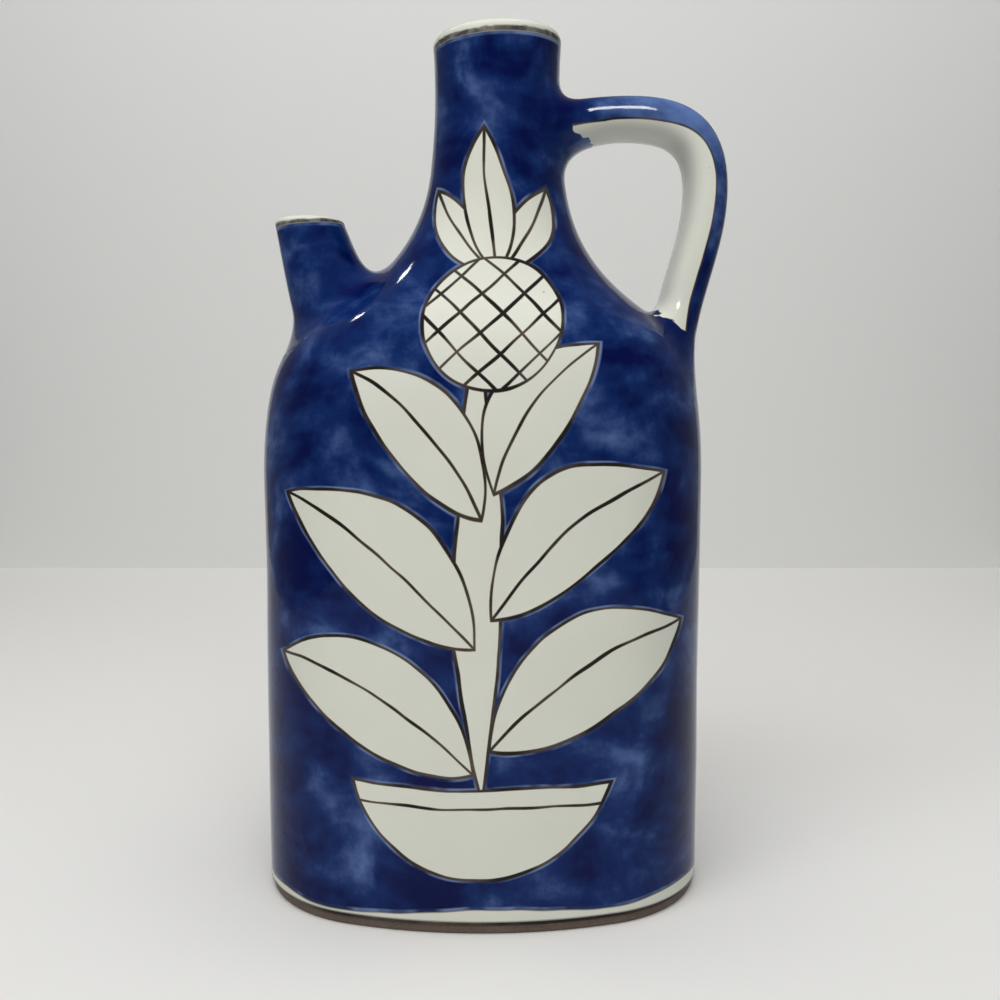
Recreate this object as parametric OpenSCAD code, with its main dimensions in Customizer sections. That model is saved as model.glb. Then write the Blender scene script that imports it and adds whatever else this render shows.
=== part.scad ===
// Oval pitcher: a flattened earthenware bottle with a tube neck, a side spout and a strap handle.
// It is built up from separate clay pieces that are luted together, as a potter makes it.
// Millimetres, +Z up. The origin is the middle of the oval foot, on the surface that it stands on.
// +X points to the handle, -X to the spout, and -Y is the front.

/* [Body] */
// Width of the oval body, spout side to handle side
body_w = 162; // [140:1:190]
// Depth of the oval body, front to back
body_d = 107; // [85:1:130]
// How much smaller the radius of the oval's rounded ends is than half its depth
end_ease = 5; // [3:0.5:12]
// Thickness of the body's clay wall
wall_t = 5; // [4:0.5:7]
// Height of the straight wall above the base slab
wall_h = 143; // [110:1:160]

/* [Shoulder] */
// Height of the shoulder, from the wall's top edge to the neck's foot
shoulder_h = 112; // [100:1:125]
// Height of the shoulder's turn, where the round crown meets the hollow flare
turn_h = 64.5; // [55:0.5:72]
// How far in from the body's side the turn lies
turn_in = 25; // [18:0.5:32]
// Slope of the shoulder at its turn, in degrees below level
turn_slope = 34; // [25:1:45]
// Height over which the crown keeps to the straight wall
crown_rise = 37; // [25:1:45]
// Length of the crown's slope below the turn
crown_reach = 18; // [10:0.5:22]
// Length of the flare's slope above the turn
flare_reach = 17; // [10:0.5:20]
// Height over which the flare keeps to the neck
flare_rise = 25; // [15:1:30]
// How far the flare stands out at that height
flare_out = 3; // [1:0.5:5]

/* [Base] */
// Thickness of the base slab
base_t = 7; // [5:0.5:10]
// Height of the bare foot below the slab's edge
foot_h = 3; // [1:0.5:4]
// How far the foot steps in from the slab's edge
foot_in = 1; // [0.5:0.5:4]
// Leg of the sealing coil in the corner of the floor
coil_leg = 6; // [4:0.5:10]

/* [Neck] */
// Outside diameter of the neck tube
neck_od = 45.4; // [40:0.2:52]
// Diameter of the neck's bore
neck_bore = 35.4; // [28:0.2:38]
// Length of the neck tube, from the shoulder to the rim coil
neck_h = 44; // [38:1:60]
// Length of the flared foot at the bottom of the neck tube
neck_flare_h = 21; // [10:1:28]
// How far that foot stands out past the tube
neck_flare = 1.9; // [0.5:0.1:3]
// Sideways offset of the neck from the body's middle
neck_x = 5.4; // [-10:0.2:12]
// Height of the coil that finishes the rim
rim_h = 5.5; // [3:0.5:8]
// How far the rim coil stands out past the neck tube
rim_out = 0.5; // [0:0.1:1.5]

/* [Spout] */
// How far in from the body's side the middle of the spout's mouth lies
spout_in = 16.5; // [10:0.5:24]
// Height of the spout's mouth above the wall's top edge
spout_rise = 96.8; // [85:0.2:110]
// Lean of the spout away from upright, in degrees
spout_lean = 17; // [8:1:24]
// Outside diameter of the spout at its mouth
spout_od = 23.4; // [20:0.2:28]
// Widening of the spout's radius for each millimetre down from its mouth
spout_taper = 0.11; // [0.04:0.01:0.16]
// Thickness of the spout's wall
spout_t = 3.8; // [3:0.2:5]
// Height of the coil that finishes the spout's mouth
spout_rim_h = 3; // [2:0.5:5]
// How far the spout's rim coil stands out past the cone
spout_rim_out = 0.4; // [0:0.1:1]
// Depth below the spout's mouth at which its clay saddle starts
saddle_top = 11; // [8:0.5:16]
// Length along the spout from there to the saddle's buried edge
saddle_l = 26; // [22:1:32]
// How far the saddle is fuller than the spout at that edge
saddle_grow = 9; // [5:0.5:11]
// How far the saddle leans towards the neck at that edge
saddle_shift = 13; // [8:0.5:14]

/* [Handle] */
// Thickness of the handle strap at the neck
strap_t = 14.5; // [10:0.5:17]
// How much thicker the strap is at its foot
strap_swell = 2; // [0:0.5:4]
// Width of the handle strap, front to back
strap_w = 27; // [18:0.5:32]
// Depth of the strap's middle below the top of the neck tube
handle_drop = 26.3; // [20:0.1:28]
// Reach of the strap's middle from the neck's axis
handle_reach = 76.4; // [68:0.2:86]
// Depth of that furthest point below the strap's start
handle_fall = 22.3; // [20:0.1:32]
// Pull of the strap's arch, above its start, over the strap's first half
handle_climb = 3; // [0:0.5:6]
// Pull of the strap's arch, above its start, at its outer corner
handle_arch = 11.4; // [6:0.2:14]
// Length over which the strap falls straight from its furthest point
handle_bend = 26; // [12:1:30]
// How far in from the body's side the middle of the strap's foot lies
handle_foot_in = 10.6; // [7:0.2:14]
// Length over which the strap stands upright above its foot
handle_stand = 40; // [28:1:46]
// How far the strap sways towards the neck at that height
handle_sway = 5.1; // [0:0.1:8]
// Depth that the strap's foot runs on, inside the shoulder, below where its outer face goes in
strap_sink = 8; // [6:0.5:12]
// Width of the luting clay around the strap's ends
luting_w = 5; // [3:0.5:7]
// Length of the luting clay along the strap, from the piece that it joins
luting_h = 11; // [6:0.5:14]
// Share of the luting clay that is moved from the strap's outer side to its inner side
luting_lean = 0.7; // [0:0.1:1]

/* [Hidden] */

// Film of slip between a coil and the pieces that it seals
slip = 0.05;
// Depth by which luting clay starts inside the piece that it seals, so that its thin edge is clean
feather = 0.4;
// Overrun of a cutting shape past the face that it cuts
cut = 1;
// Points on a quarter of an oval ring: on its rounded end and on its flatter side
end_points = 7;
side_points = 5;
// Points round the saddle's rings and the strap's section
ring_points = 48;
strap_points = 24;
// Steps along each stretch of the shoulder's profile and of the strap's path, and along the luting clay
profile_steps = 9;
path_steps = 9;
saddle_steps = 8;
luting_steps = 5;

half_w = body_w / 2;
half_d = body_d / 2;
// The oval is four arcs, each smooth into the next: two rounded ends and two flatter sides
end_r = half_d - end_ease;
end_x = half_w - end_r;
side_r = half_w + pow(half_w - half_d, 2) / (2 * end_ease);
side_y = side_r - half_d;
// Direction, from the width's axis, in which an end meets a side
arc_turn = atan2(side_y, end_x);
wall_top_z = base_t + wall_h;
neck_z = wall_top_z + shoulder_h;
neck_top_z = neck_z + neck_h;
neck_r = neck_od / 2;
bore_r = neck_bore / 2;
neck_foot_r = neck_r + neck_flare;
spout_x = spout_in - half_w;
spout_z = wall_top_z + spout_rise;
spout_r = spout_od / 2;
// Length of the spout's cone before it is cut to fit: it runs down to the level of the wall's top edge
spout_l = spout_rise / cos(spout_lean);
// Extra inset that keeps the wall as thick on the slope as on the straight
slope_inset = wall_t / sin(turn_slope) - wall_t;

blue = "#1d3572";
white = "#e4e4da";
brown = "#6b5344";

// Curves

function bezier(p, t) =
    pow(1 - t, 3) * p[0] + 3 * pow(1 - t, 2) * t * p[1] + 3 * (1 - t) * t * t * p[2] + pow(t, 3) * p[3];

function bezier_slope(p, t) =
    3 * pow(1 - t, 2) * (p[1] - p[0]) + 6 * (1 - t) * t * (p[2] - p[1]) + 3 * t * t * (p[3] - p[2]);

// Two cubic stretches in a row, from t = 0 to 1 and from 1 to 2
function along(curves, t) = t <= 1 ? bezier(curves[0], t) : bezier(curves[1], t - 1);
function slope_along(curves, t) = t <= 1 ? bezier_slope(curves[0], t) : bezier_slope(curves[1], t - 1);

// Solids lofted through rings of points, each ring counter-clockwise as seen from the next one

module loft(rings, closed = false) {
    n = len(rings[0]);
    m = len(rings);
    last = closed ? m - 1 : m - 2;
    sides = [for (i = [0 : last], j = [0 : n - 1])
        let (this = i * n, above = ((i + 1) % m) * n, next = (j + 1) % n)
        each [[this + j, above + next, this + next], [this + j, above + j, above + next]]];
    ends = closed ? [] : [[for (j = [0 : n - 1]) j], [for (j = [n - 1 : -1 : 0]) (m - 1) * n + j]];
    polyhedron([for (ring = rings) each ring], concat(ends, sides), convexity = 8);
}

// Body and base

// A point of the oval, or of one shrunk by a share f towards a circle, that faces a direction
function oval_point(a, f, end_radius, side_radius) =
    abs(cos(a)) >= cos(arc_turn)
        ? [sign(cos(a)) * end_x * f + end_radius * cos(a), end_radius * sin(a)]
        : [side_radius * cos(a), side_radius * sin(a) - sign(sin(a)) * side_y * f];

quarter_facings = concat([for (i = [0 : end_points - 1]) arc_turn * i / end_points],
                         [for (i = [0 : side_points - 1]) arc_turn + (90 - arc_turn) * i / side_points]);
half_facings = concat(quarter_facings, [90],
                      [for (i = [len(quarter_facings) - 1 : -1 : 1]) 180 - quarter_facings[i]]);
facings = concat(half_facings, [for (a = half_facings) a + 180]);

function oval_ring(inset, z) =
    [for (a = facings) let (p = oval_point(a, 1, end_r - inset, side_r - inset)) [p[0], p[1], z]];

module oval_outline(inset) {
    joint_x = end_x + (end_r - inset) * cos(arc_turn);
    intersection() {
        translate([0, side_y]) circle(r = side_r - inset, $fn = 240);
        translate([0, -side_y]) circle(r = side_r - inset, $fn = 240);
        translate([-joint_x, -body_d]) square([2 * joint_x, 2 * body_d]);
    }
    for (side = [0, 180]) rotate(side) intersection() {
        translate([end_x, 0]) circle(r = end_r - inset, $fn = 120);
        translate([joint_x, -body_d]) square([body_w, 2 * body_d]);
    }
}

module oval(inset, z_low, z_high) {
    translate([0, 0, z_low]) linear_extrude(height = z_high - z_low) oval_outline(inset);
}

module level_slab(z_low, z_high) {
    side = 2 * (body_w + body_d);
    translate([-side / 2, -side / 2, z_low]) cube([side, side, z_high - z_low]);
}

module base_slab() {
    color(brown) {
        intersection() {
            level_slab(foot_h, base_t);
            oval(0, foot_h - cut, base_t + cut);
        }
        intersection() {
            level_slab(0, foot_h);
            oval(foot_in, -cut, foot_h + cut);
        }
    }
}

module base_coil() {
    color(white) loft([oval_ring(wall_t + slip, base_t + slip), oval_ring(wall_t + slip, base_t + coil_leg),
                       oval_ring(wall_t + coil_leg, base_t + slip)], closed = true);
}

module body_wall() {
    color(blue) intersection() {
        level_slab(base_t, wall_top_z);
        difference() {
            oval(0, base_t - cut, wall_top_z + cut);
            oval(wall_t, base_t - 2 * cut, wall_top_z + 2 * cut);
        }
    }
}

// Shoulder: its side view is a round crown and a hollow flare, which meet at the turn

turn = [half_w - turn_in, wall_top_z + turn_h];
turn_way = [cos(turn_slope), -sin(turn_slope)];
shoulder_profile = [
    [[half_w, wall_top_z], [half_w, wall_top_z + crown_rise], turn + crown_reach * turn_way, turn],
    [turn, turn - flare_reach * turn_way,
     [neck_foot_r + flare_out, neck_z - flare_rise], [neck_foot_r, neck_z]]
];

// Share of the way from the neck's foot, 0, out to the straight wall, 1
function fullness(t) = (along(shoulder_profile, t)[0] - neck_foot_r) / (half_w - neck_foot_r);

function shoulder_ring(t, end_inset, wall_inset, slope_extra) =
    let (w = fullness(t), extra = slope_extra * sin(180 * w), z = along(shoulder_profile, t)[1],
         low = neck_foot_r - end_inset, end_radius = low + (end_r - wall_inset - low) * w - extra,
         side_radius = low + (side_r - wall_inset - low) * w - extra)
    [for (a = facings) let (p = oval_point(a, w, end_radius, side_radius))
        [neck_x * (1 - w) + p[0], p[1], z]];

shoulder_outside = [for (i = [0 : 2 * profile_steps]) shoulder_ring(i / profile_steps, 0, 0, 0)];
shoulder_inside = [for (i = [2 * profile_steps : -1 : 0])
    shoulder_ring(i / profile_steps, neck_foot_r - bore_r, wall_t, slope_inset)];

module shoulder_core() {
    loft(shoulder_outside);
}

module shoulder() {
    color(blue) difference() {
        loft(concat(shoulder_outside, shoulder_inside), closed = true);
        spout_cone(-spout_t);
    }
}

// Neck

module neck_core() {
    translate([neck_x, 0, neck_z]) rotate_extrude($fn = 96)
        polygon([[0, 0], [neck_foot_r, 0], [neck_r, neck_flare_h], [neck_r, neck_h], [0, neck_h]]);
}

module neck() {
    color(blue) difference() {
        neck_core();
        translate([neck_x, 0, neck_z - cut]) cylinder(r = bore_r, h = neck_h + 2 * cut, $fn = 96);
    }
}

module neck_rim() {
    lip = (neck_r + rim_out - bore_r) / 2;
    color(white) translate([neck_x, 0, neck_top_z]) rotate_extrude($fn = 96) {
        translate([bore_r, 0]) square([2 * lip, rim_h - lip]);
        intersection() {
            translate([bore_r + lip, rim_h - lip]) circle(r = lip, $fn = 48);
            translate([bore_r, rim_h - lip]) square([2 * lip, lip]);
        }
    }
}

// Spout: a cone that leans away from the neck, cut level at its mouth and to the shoulder at its root

module on_spout() {
    translate([spout_x, 0, spout_z]) rotate([0, -spout_lean, 0]) children();
}

module spout_cone(grow) {
    over = spout_od / 2;
    on_spout() translate([0, 0, -spout_l])
        cylinder(r1 = spout_r + grow + spout_taper * spout_l, r2 = spout_r + grow - spout_taper * over,
                 h = spout_l + over, $fn = 96);
}

module spout() {
    color(blue) intersection() {
        level_slab(wall_top_z, spout_z - spout_rim_h);
        difference() {
            spout_cone(0);
            spout_cone(-spout_t);
            shoulder_core();
        }
    }
}

module spout_rim() {
    color(white) intersection() {
        level_slab(spout_z - spout_rim_h, spout_z);
        difference() {
            spout_cone(spout_rim_out);
            spout_cone(-spout_t);
        }
    }
}

// Ring of the saddle at a share u of its length, in the spout's own axes
function saddle_ring(u) =
    let (depth = saddle_top + saddle_l * u,
         r = spout_r + spout_taper * depth - feather + saddle_grow * u * u)
    [for (j = [0 : ring_points - 1]) let (a = 360 * j / ring_points)
        [saddle_shift * u * u + r * cos(a), r * sin(a), -depth]];

module spout_saddle() {
    color(blue) difference() {
        on_spout() loft([for (i = [saddle_steps : -1 : 0]) saddle_ring(i / saddle_steps)]);
        spout_cone(slip);
        shoulder_core();
    }
}

// Handle: a strap that leaves the neck level, turns down and stands on the shoulder

strap_start_z = neck_top_z - handle_drop;
strap_far = [neck_x + handle_reach, strap_start_z - handle_fall];

// Place on the shoulder's outline where the strap stands, found by halving the crown's curve
function outline_x(t) = neck_x * (1 - fullness(t)) + along(shoulder_profile, t)[0];
function outline_t(x, low = 0, high = 1, n = 30) =
    n == 0 ? low : let (t = (low + high) / 2)
    outline_x(t) > x ? outline_t(x, t, high, n - 1) : outline_t(x, low, t, n - 1);

function outline_z(x) = along(shoulder_profile, outline_t(x))[1];

// Half of the strap's thickness at t, from 0 at the neck to 2 at the foot
function half_strap(t) = (strap_t + strap_swell * t / 2) / 2;

strap_foot_x = half_w - handle_foot_in;
strap_foot = [strap_foot_x, outline_z(strap_foot_x + half_strap(2)) - strap_sink];
strap_start = [neck_x + neck_r / 2, strap_start_z];
strap_path = [
    [strap_start, [(strap_start[0] + strap_far[0]) / 2, strap_start_z + handle_climb],
     [strap_far[0], strap_start_z + handle_arch], strap_far],
    [strap_far, strap_far - [0, handle_bend], strap_foot + [-handle_sway, handle_stand], strap_foot]
];

// Rounded strap section at t: x is across its thickness, y is front to back
function rounded(v) = sign(v) * pow(abs(v), 0.8);
function strap_section(t, grow) = [for (j = [0 : strap_points - 1]) let (a = 360 * j / strap_points)
    [(half_strap(t) + grow) * rounded(cos(a)), (strap_w / 2 + grow) * rounded(sin(a))]];

// Ring of the strap's section at t, grown all round and moved to its inner side by a share of the growth
function strap_ring(t, grow, lean = 0) =
    let (p = along(strap_path, t), s = slope_along(strap_path, t), across = [s[1], -s[0]] / norm(s))
    [for (q = strap_section(t, grow)) let (x = q[0] + lean * grow)
        [p[0] + across[0] * x, q[1], p[1] + across[1] * x]];

module strap(grow = 0) {
    loft([for (i = [0 : 2 * path_steps]) strap_ring(i / path_steps, grow)]);
}

module handle_strap() {
    color(blue) difference() {
        strap();
        neck_core();
        shoulder_core();
    }
}

// Luting clay: a collar on the strap from t_low to t_high, fullest at the share peak of that stretch
module luting(t_low, t_high, peak, lean) {
    difference() {
        loft([for (i = [0 : luting_steps])
            let (u = i / luting_steps, full = u < peak ? u / peak : (1 - u) / (1 - peak))
            strap_ring(t_low + (t_high - t_low) * u, (luting_w + feather) * full - feather, lean)]);
        strap(slip);
        neck_core();
        shoulder_core();
    }
}

// Steps of t for each millimetre along the strap at its start and at its foot
top_pace = 1 / norm(slope_along(strap_path, 0));
foot_pace = 1 / norm(slope_along(strap_path, 2));
foot_buried = outline_z(strap_foot_x - half_strap(2)) - strap_foot[1];

module handle_top_luting() {
    color(blue) luting(0, (neck_r / 2 + luting_h) * top_pace, 0, luting_lean);
}

module handle_foot_luting() {
    color(blue) luting(2 - (foot_buried + luting_h) * foot_pace, 2, luting_h / foot_buried, luting_lean);
}

base_slab();
base_coil();
body_wall();
shoulder();
neck();
neck_rim();
spout();
spout_rim();
spout_saddle();
handle_strap();
handle_top_luting();
handle_foot_luting();
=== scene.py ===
import math

import bpy
import numpy as np
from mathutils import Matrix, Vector, noise


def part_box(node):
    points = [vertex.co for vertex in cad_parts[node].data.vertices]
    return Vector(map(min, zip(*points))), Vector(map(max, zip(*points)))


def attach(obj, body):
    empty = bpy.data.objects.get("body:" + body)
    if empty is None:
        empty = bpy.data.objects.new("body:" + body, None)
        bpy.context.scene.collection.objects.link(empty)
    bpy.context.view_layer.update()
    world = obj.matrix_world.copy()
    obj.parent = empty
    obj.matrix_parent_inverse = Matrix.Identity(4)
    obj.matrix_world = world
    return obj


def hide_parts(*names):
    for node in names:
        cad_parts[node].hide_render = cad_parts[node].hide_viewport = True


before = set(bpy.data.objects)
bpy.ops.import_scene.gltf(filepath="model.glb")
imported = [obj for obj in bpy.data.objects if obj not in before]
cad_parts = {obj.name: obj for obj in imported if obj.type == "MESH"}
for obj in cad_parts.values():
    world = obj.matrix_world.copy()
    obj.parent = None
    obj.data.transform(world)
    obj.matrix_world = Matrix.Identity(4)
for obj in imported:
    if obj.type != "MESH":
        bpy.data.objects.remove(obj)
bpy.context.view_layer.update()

# Lengths are in millimetres until a mesh is made, and meshes are in metres.
MM = 0.001


def node_box(node):
    """Lowest and highest corner of a clay piece."""
    low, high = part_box(node)
    return np.array(low) / MM, np.array(high) / MM


# Sizes that the packed clay pieces give

wall_high = node_box("body_wall")[1]
neck_low, neck_high = node_box("neck")
rim_low, rim_high = node_box("neck_rim")
mouth_high = node_box("spout_rim")[1]
foot_high = node_box("base_slab")[1]

HALF_W = foot_high[0]
HALF_D = foot_high[1]
FLOOR_Z = foot_high[2]
WALL_TOP = wall_high[2]
NECK_X = (neck_low[0] + neck_high[0]) / 2
NECK_FOOT_R = (neck_high[0] - neck_low[0]) / 2
NECK_FOOT_Z = neck_low[2]
RIM_R = (rim_high[0] - rim_low[0]) / 2
LIP_Z = rim_high[2]
MOUTH_Z = mouth_high[2]

# Vessel: its wall and edges, its neck and lip, and how its shoulder turns into the neck

WALL_T = 5.0
FOOT_H = 3.0
FOOT_IN = 1.0
END_EASE = 5.0
EDGE_R = 1.4
FLOOR_R = 6.0
NECK_R = 22.7
NECK_TAPER_H = 30.0
NECK_DRAWN_IN = 1.1
BORE_R = 17.7
LIP_FLARE_H = 7.0
RIM_TILT = 0.05
TIP_REACH = 2.2 * NECK_R
TURN_IN = 25.0
TURN_Z = WALL_TOP + 64.5
TURN_SLOPE = math.radians(34)
CROWN_RISE = 46.0
CROWN_REACH = 21.5
FLARE_REACH = 17.0
FLARE_RISE = 25.0
FLARE_OUT = 3.0
COLUMNS = 240
SIDE_CROWDING = 2.0
PROFILE_STEPS = 18

# Spout: the root's range and the bore's cut are places on its axis, up from its mouth

SPOUT_IN = 16.5
SPOUT_LEAN = math.radians(17)
SPOUT_R = 11.9
SPOUT_TAPER = 0.11
SPOUT_T = 3.8
SPOUT_ROOT = (-70.0, -4.0)
SPOUT_FILLET = 10.5
SPOUT_FILLET_TO_NECK = 4.5
BORE_CUT = (-58.0, -45.0, -30.0, -8.0)
SPOUT_COLUMNS = 72
SPOUT_STEPS = 15
LIP_STEPS = 10
LINED_LIP_STEP = 7
BORE_STEPS = 13

# Handle: the points of its path are x and z

STRAP_T = 14.5
STRAP_SWELL = 2.0
STRAP_W = 27.0
STRAP_ROUND = 2.5
STRAP_COLUMNS = 56
STRAP_STEPS = 119
STRAP_FAR = np.array([NECK_X + 76.4, 257.4])
STRAP_START = np.array([NECK_X + NECK_R / 2, 279.7])
STRAP_CLIMB = 3.0
STRAP_ARCH = 11.4
STRAP_BEND = 26.0
STRAP_FOOT = np.array([HALF_W - 10.6, 174.6])
STRAP_STAND = np.array([-5.1, 40.0])

# Handle's fillets, up the strap and out on the vessel, and what each side adds to them

NECK_ROOT = (0.0, 0.5)
NECK_FILLET = np.array([16.0, 11.5])
NECK_FILLET_INNER = np.array([7.0, 2.5])
FOOT_ROOT = (2.0, 1.35)
FOOT_FILLET = np.array([10.0, 6.0])
FOOT_FILLET_FRONT = np.array([8.0, 7.0])
FOOT_FILLET_OUTER = np.array([4.0, 5.0])
FILLET_STEPS = 14
BEND_RANGE = (-0.4, 0.7)
SUNK_RINGS = 3
SINK = 1.5
SINK_SLOPE = 0.045

# Handle's paint: where the blue ends at the neck and at the foot, and how far it wraps the strap

BLUE_AT_NECK = 18.5
BLUE_BELOW = 206.0
BLUE_BELOW_INNER = 9.0
BLUE_EDGE = -1.8
BLUE_WRAP = 4.4
# Painted sheen: how much paler the blue is drawn on the arch's crest and along the arch
PAINTED_SHEEN_ON_CREST = 0.11
PAINTED_SHEEN_ON_ARCH = 0.09

# The clay was pressed by hand, so every surface swells and dips a little.
DENT = 0.45
DENT_SPACING = 42.0
DENT_SEED = 1


def link(obj):
    bpy.context.scene.collection.objects.link(obj)
    return obj


# Curves: a stretch is four control points of a cubic

def cubic(stretch, t):
    p0, p1, p2, p3 = (np.asarray(p, float) for p in stretch)
    t = np.asarray(t, float)[..., None]
    return (1 - t) ** 3 * p0 + 3 * (1 - t) ** 2 * t * p1 + 3 * (1 - t) * t ** 2 * p2 + t ** 3 * p3


def cubic_slope(stretch, t):
    p0, p1, p2, p3 = (np.asarray(p, float) for p in stretch)
    t = np.asarray(t, float)[..., None]
    return 3 * (1 - t) ** 2 * (p1 - p0) + 6 * (1 - t) * t * (p2 - p1) + 3 * t ** 2 * (p3 - p2)


def straight(p, q):
    p, q = np.array(p, float), np.array(q, float)
    return [p, p + (q - p) / 3, q - (q - p) / 3, q]


def quarter_round(p, corner, q):
    p, corner, q = (np.array(v, float) for v in (p, corner, q))
    pull = 0.5523
    return [p, p + pull * (corner - p), q + pull * (corner - q), q]


def smooth_step(x):
    x = np.clip(x, 0, 1)
    return x * x * (3 - 2 * x)


# The vessel's plan: an oval of four arcs, two rounded ends and two flatter sides, and round at the neck

END_X = HALF_W - HALF_D + END_EASE
SIDE_Y = HALF_W + (HALF_W - HALF_D) ** 2 / (2 * END_EASE) - HALF_D

# The vessel's profile: each stretch runs in half-width and height, with a rule that gives its half-depth

def shoulder_depth(w):
    """Half-depth outside: the neck's foot is round and the wall is the full oval."""
    return NECK_FOOT_R + (w - NECK_FOOT_R) * (HALF_D - NECK_FOOT_R) / (HALF_W - NECK_FOOT_R)


def inner_depth(w):
    """Half-depth inside, between the round bore and the wall's oval."""
    return BORE_R + (w - BORE_R) * (HALF_D - WALL_T - BORE_R) / (INNER_W - BORE_R)


def round_depth(w):
    return w


def inset_depth(w):
    """Half-depth of a ring that lies the same way in from the oval all round."""
    return w - HALF_W + HALF_D


def flat_depth(edge):
    """Half-depth of a floor whose rings shrink from the oval's edge, that far in, to a point."""
    return lambda w: w * (HALF_D - edge) / (HALF_W - edge)


INNER_W = HALF_W - WALL_T
FOOT_W = HALF_W - FOOT_IN
NECK_TOP = NECK_FOOT_Z + NECK_TAPER_H
LIP_T = (RIM_R - BORE_R) / 2
LIP_MID = BORE_R + LIP_T
LIP_EDGE = LIP_Z - LIP_T
LIP_FLARE = LIP_EDGE - LIP_FLARE_H / 2
FOOT_SEAT = FOOT_H + EDGE_R / 4
turn = np.array([HALF_W - TURN_IN, TURN_Z])
turn_way = np.array([math.cos(TURN_SLOPE), -math.sin(TURN_SLOPE)])
inner_turn = turn - np.array([WALL_T / math.sin(TURN_SLOPE), 0])

OUTSIDE = [
    (straight((HALF_W, FOOT_H + EDGE_R), (HALF_W, WALL_TOP)), shoulder_depth),
    ([(HALF_W, WALL_TOP), (HALF_W, WALL_TOP + CROWN_RISE), turn + CROWN_REACH * turn_way, turn],
     shoulder_depth),
    ([turn, turn - FLARE_REACH * turn_way, (NECK_FOOT_R + FLARE_OUT, NECK_FOOT_Z - FLARE_RISE),
      (NECK_FOOT_R, NECK_FOOT_Z)], shoulder_depth),
    ([(NECK_FOOT_R, NECK_FOOT_Z), (NECK_FOOT_R - NECK_DRAWN_IN, NECK_FOOT_Z + NECK_TAPER_H / 3),
      (NECK_R, NECK_FOOT_Z + NECK_TAPER_H * 2 / 3), (NECK_R, NECK_TOP)], round_depth),
    ([(NECK_R, NECK_TOP), (NECK_R, LIP_FLARE), (RIM_R, LIP_FLARE), (RIM_R, LIP_EDGE)], round_depth),
]
BOTTOM = [
    (straight((0, FOOT_H), (HALF_W - EDGE_R, FOOT_H)), flat_depth(EDGE_R)),
    (quarter_round((HALF_W - EDGE_R, FOOT_H), (HALF_W, FOOT_H), (HALF_W, FOOT_H + EDGE_R)), inset_depth),
]
LIP = [
    (quarter_round((RIM_R, LIP_EDGE), (RIM_R, LIP_Z), (LIP_MID, LIP_Z)), round_depth),
    (quarter_round((LIP_MID, LIP_Z), (BORE_R, LIP_Z), (BORE_R, LIP_EDGE)), round_depth),
]
INSIDE = [
    (straight((BORE_R, LIP_EDGE), (BORE_R, NECK_FOOT_Z)), round_depth),
    ([(BORE_R, NECK_FOOT_Z), (BORE_R, NECK_FOOT_Z - FLARE_RISE), inner_turn - FLARE_REACH * turn_way,
      inner_turn], inner_depth),
    ([inner_turn, inner_turn + CROWN_REACH * turn_way, (INNER_W, WALL_TOP + CROWN_RISE),
      (INNER_W, WALL_TOP)], inner_depth),
    (straight((INNER_W, WALL_TOP), (INNER_W, FLOOR_Z + FLOOR_R)), inset_depth),
    (quarter_round((INNER_W, FLOOR_Z + FLOOR_R), (INNER_W, FLOOR_Z), (INNER_W - FLOOR_R, FLOOR_Z)),
     inset_depth),
    (straight((INNER_W - FLOOR_R, FLOOR_Z), (0, FLOOR_Z)), flat_depth(WALL_T + FLOOR_R)),
]
FOOT = [
    (straight((0, 0), (FOOT_W - EDGE_R, 0)), flat_depth(FOOT_IN + EDGE_R)),
    (quarter_round((FOOT_W - EDGE_R, 0), (FOOT_W, 0), (FOOT_W, EDGE_R)), inset_depth),
    (straight((FOOT_W, EDGE_R), (FOOT_W, FOOT_SEAT)), inset_depth),
    (straight((FOOT_W, FOOT_SEAT), (0, FOOT_SEAT)), flat_depth(FOOT_IN)),
]


def in_space(stretch, depth):
    """The stretch's control points as half-width, half-depth and height."""
    return [np.array([p[0], depth(p[0]), p[1]]) for p in stretch]


outside_samples = np.concatenate([cubic(in_space(*s), np.linspace(0, 1, 200)) for s in OUTSIDE])


def outwardness(p):
    """Level distance out of the vessel's outside, and below 0 inside it."""
    w = np.interp(p[..., 2], outside_samples[:, 2], outside_samples[:, 0])
    d = np.interp(p[..., 2], outside_samples[:, 2], outside_samples[:, 1])
    oval = (w - d) / (HALF_W - HALF_D)
    x, y = np.abs(p[..., 0] - NECK_X * (1 - oval)), np.abs(p[..., 1])
    end_x, side_y = END_X * oval, SIDE_Y * oval
    at_end = (x - end_x) * side_y > y * end_x
    return np.where(at_end, np.hypot(x - end_x, y) - w + end_x, np.hypot(x, y + side_y) - d - side_y)


def crossing(point_at, low, high):
    """For each column, where point_at leaves the vessel between low, inside, and high, outside."""
    for _ in range(48):
        middle = (low + high) / 2
        out = outwardness(point_at(middle)) > 0
        low, high = np.where(out, low, middle), np.where(out, middle, high)
    return (low + high) / 2


# Joints: a limb runs into the vessel, and each column of its skin ends in a fillet of clay

def settle(corner, way, normal, reach):
    """The points of the vessel's outside that lie reach from a corner, in the plane of way and normal."""
    def around(angle):
        return corner + reach[:, None] * (np.cos(angle)[:, None] * normal - np.sin(angle)[:, None] * way)
    quarter = np.full(len(corner), math.pi / 2)
    return around(crossing(around, quarter, -quarter))


def facing(points):
    """The way that the vessel's outside faces at these points."""
    step = 0.01
    slope = [outwardness(points + step * axis) - outwardness(points - step * axis) for axis in np.eye(3)]
    slope = np.stack(slope, -1)
    return slope / np.linalg.norm(slope, axis=-1, keepdims=True)


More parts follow.
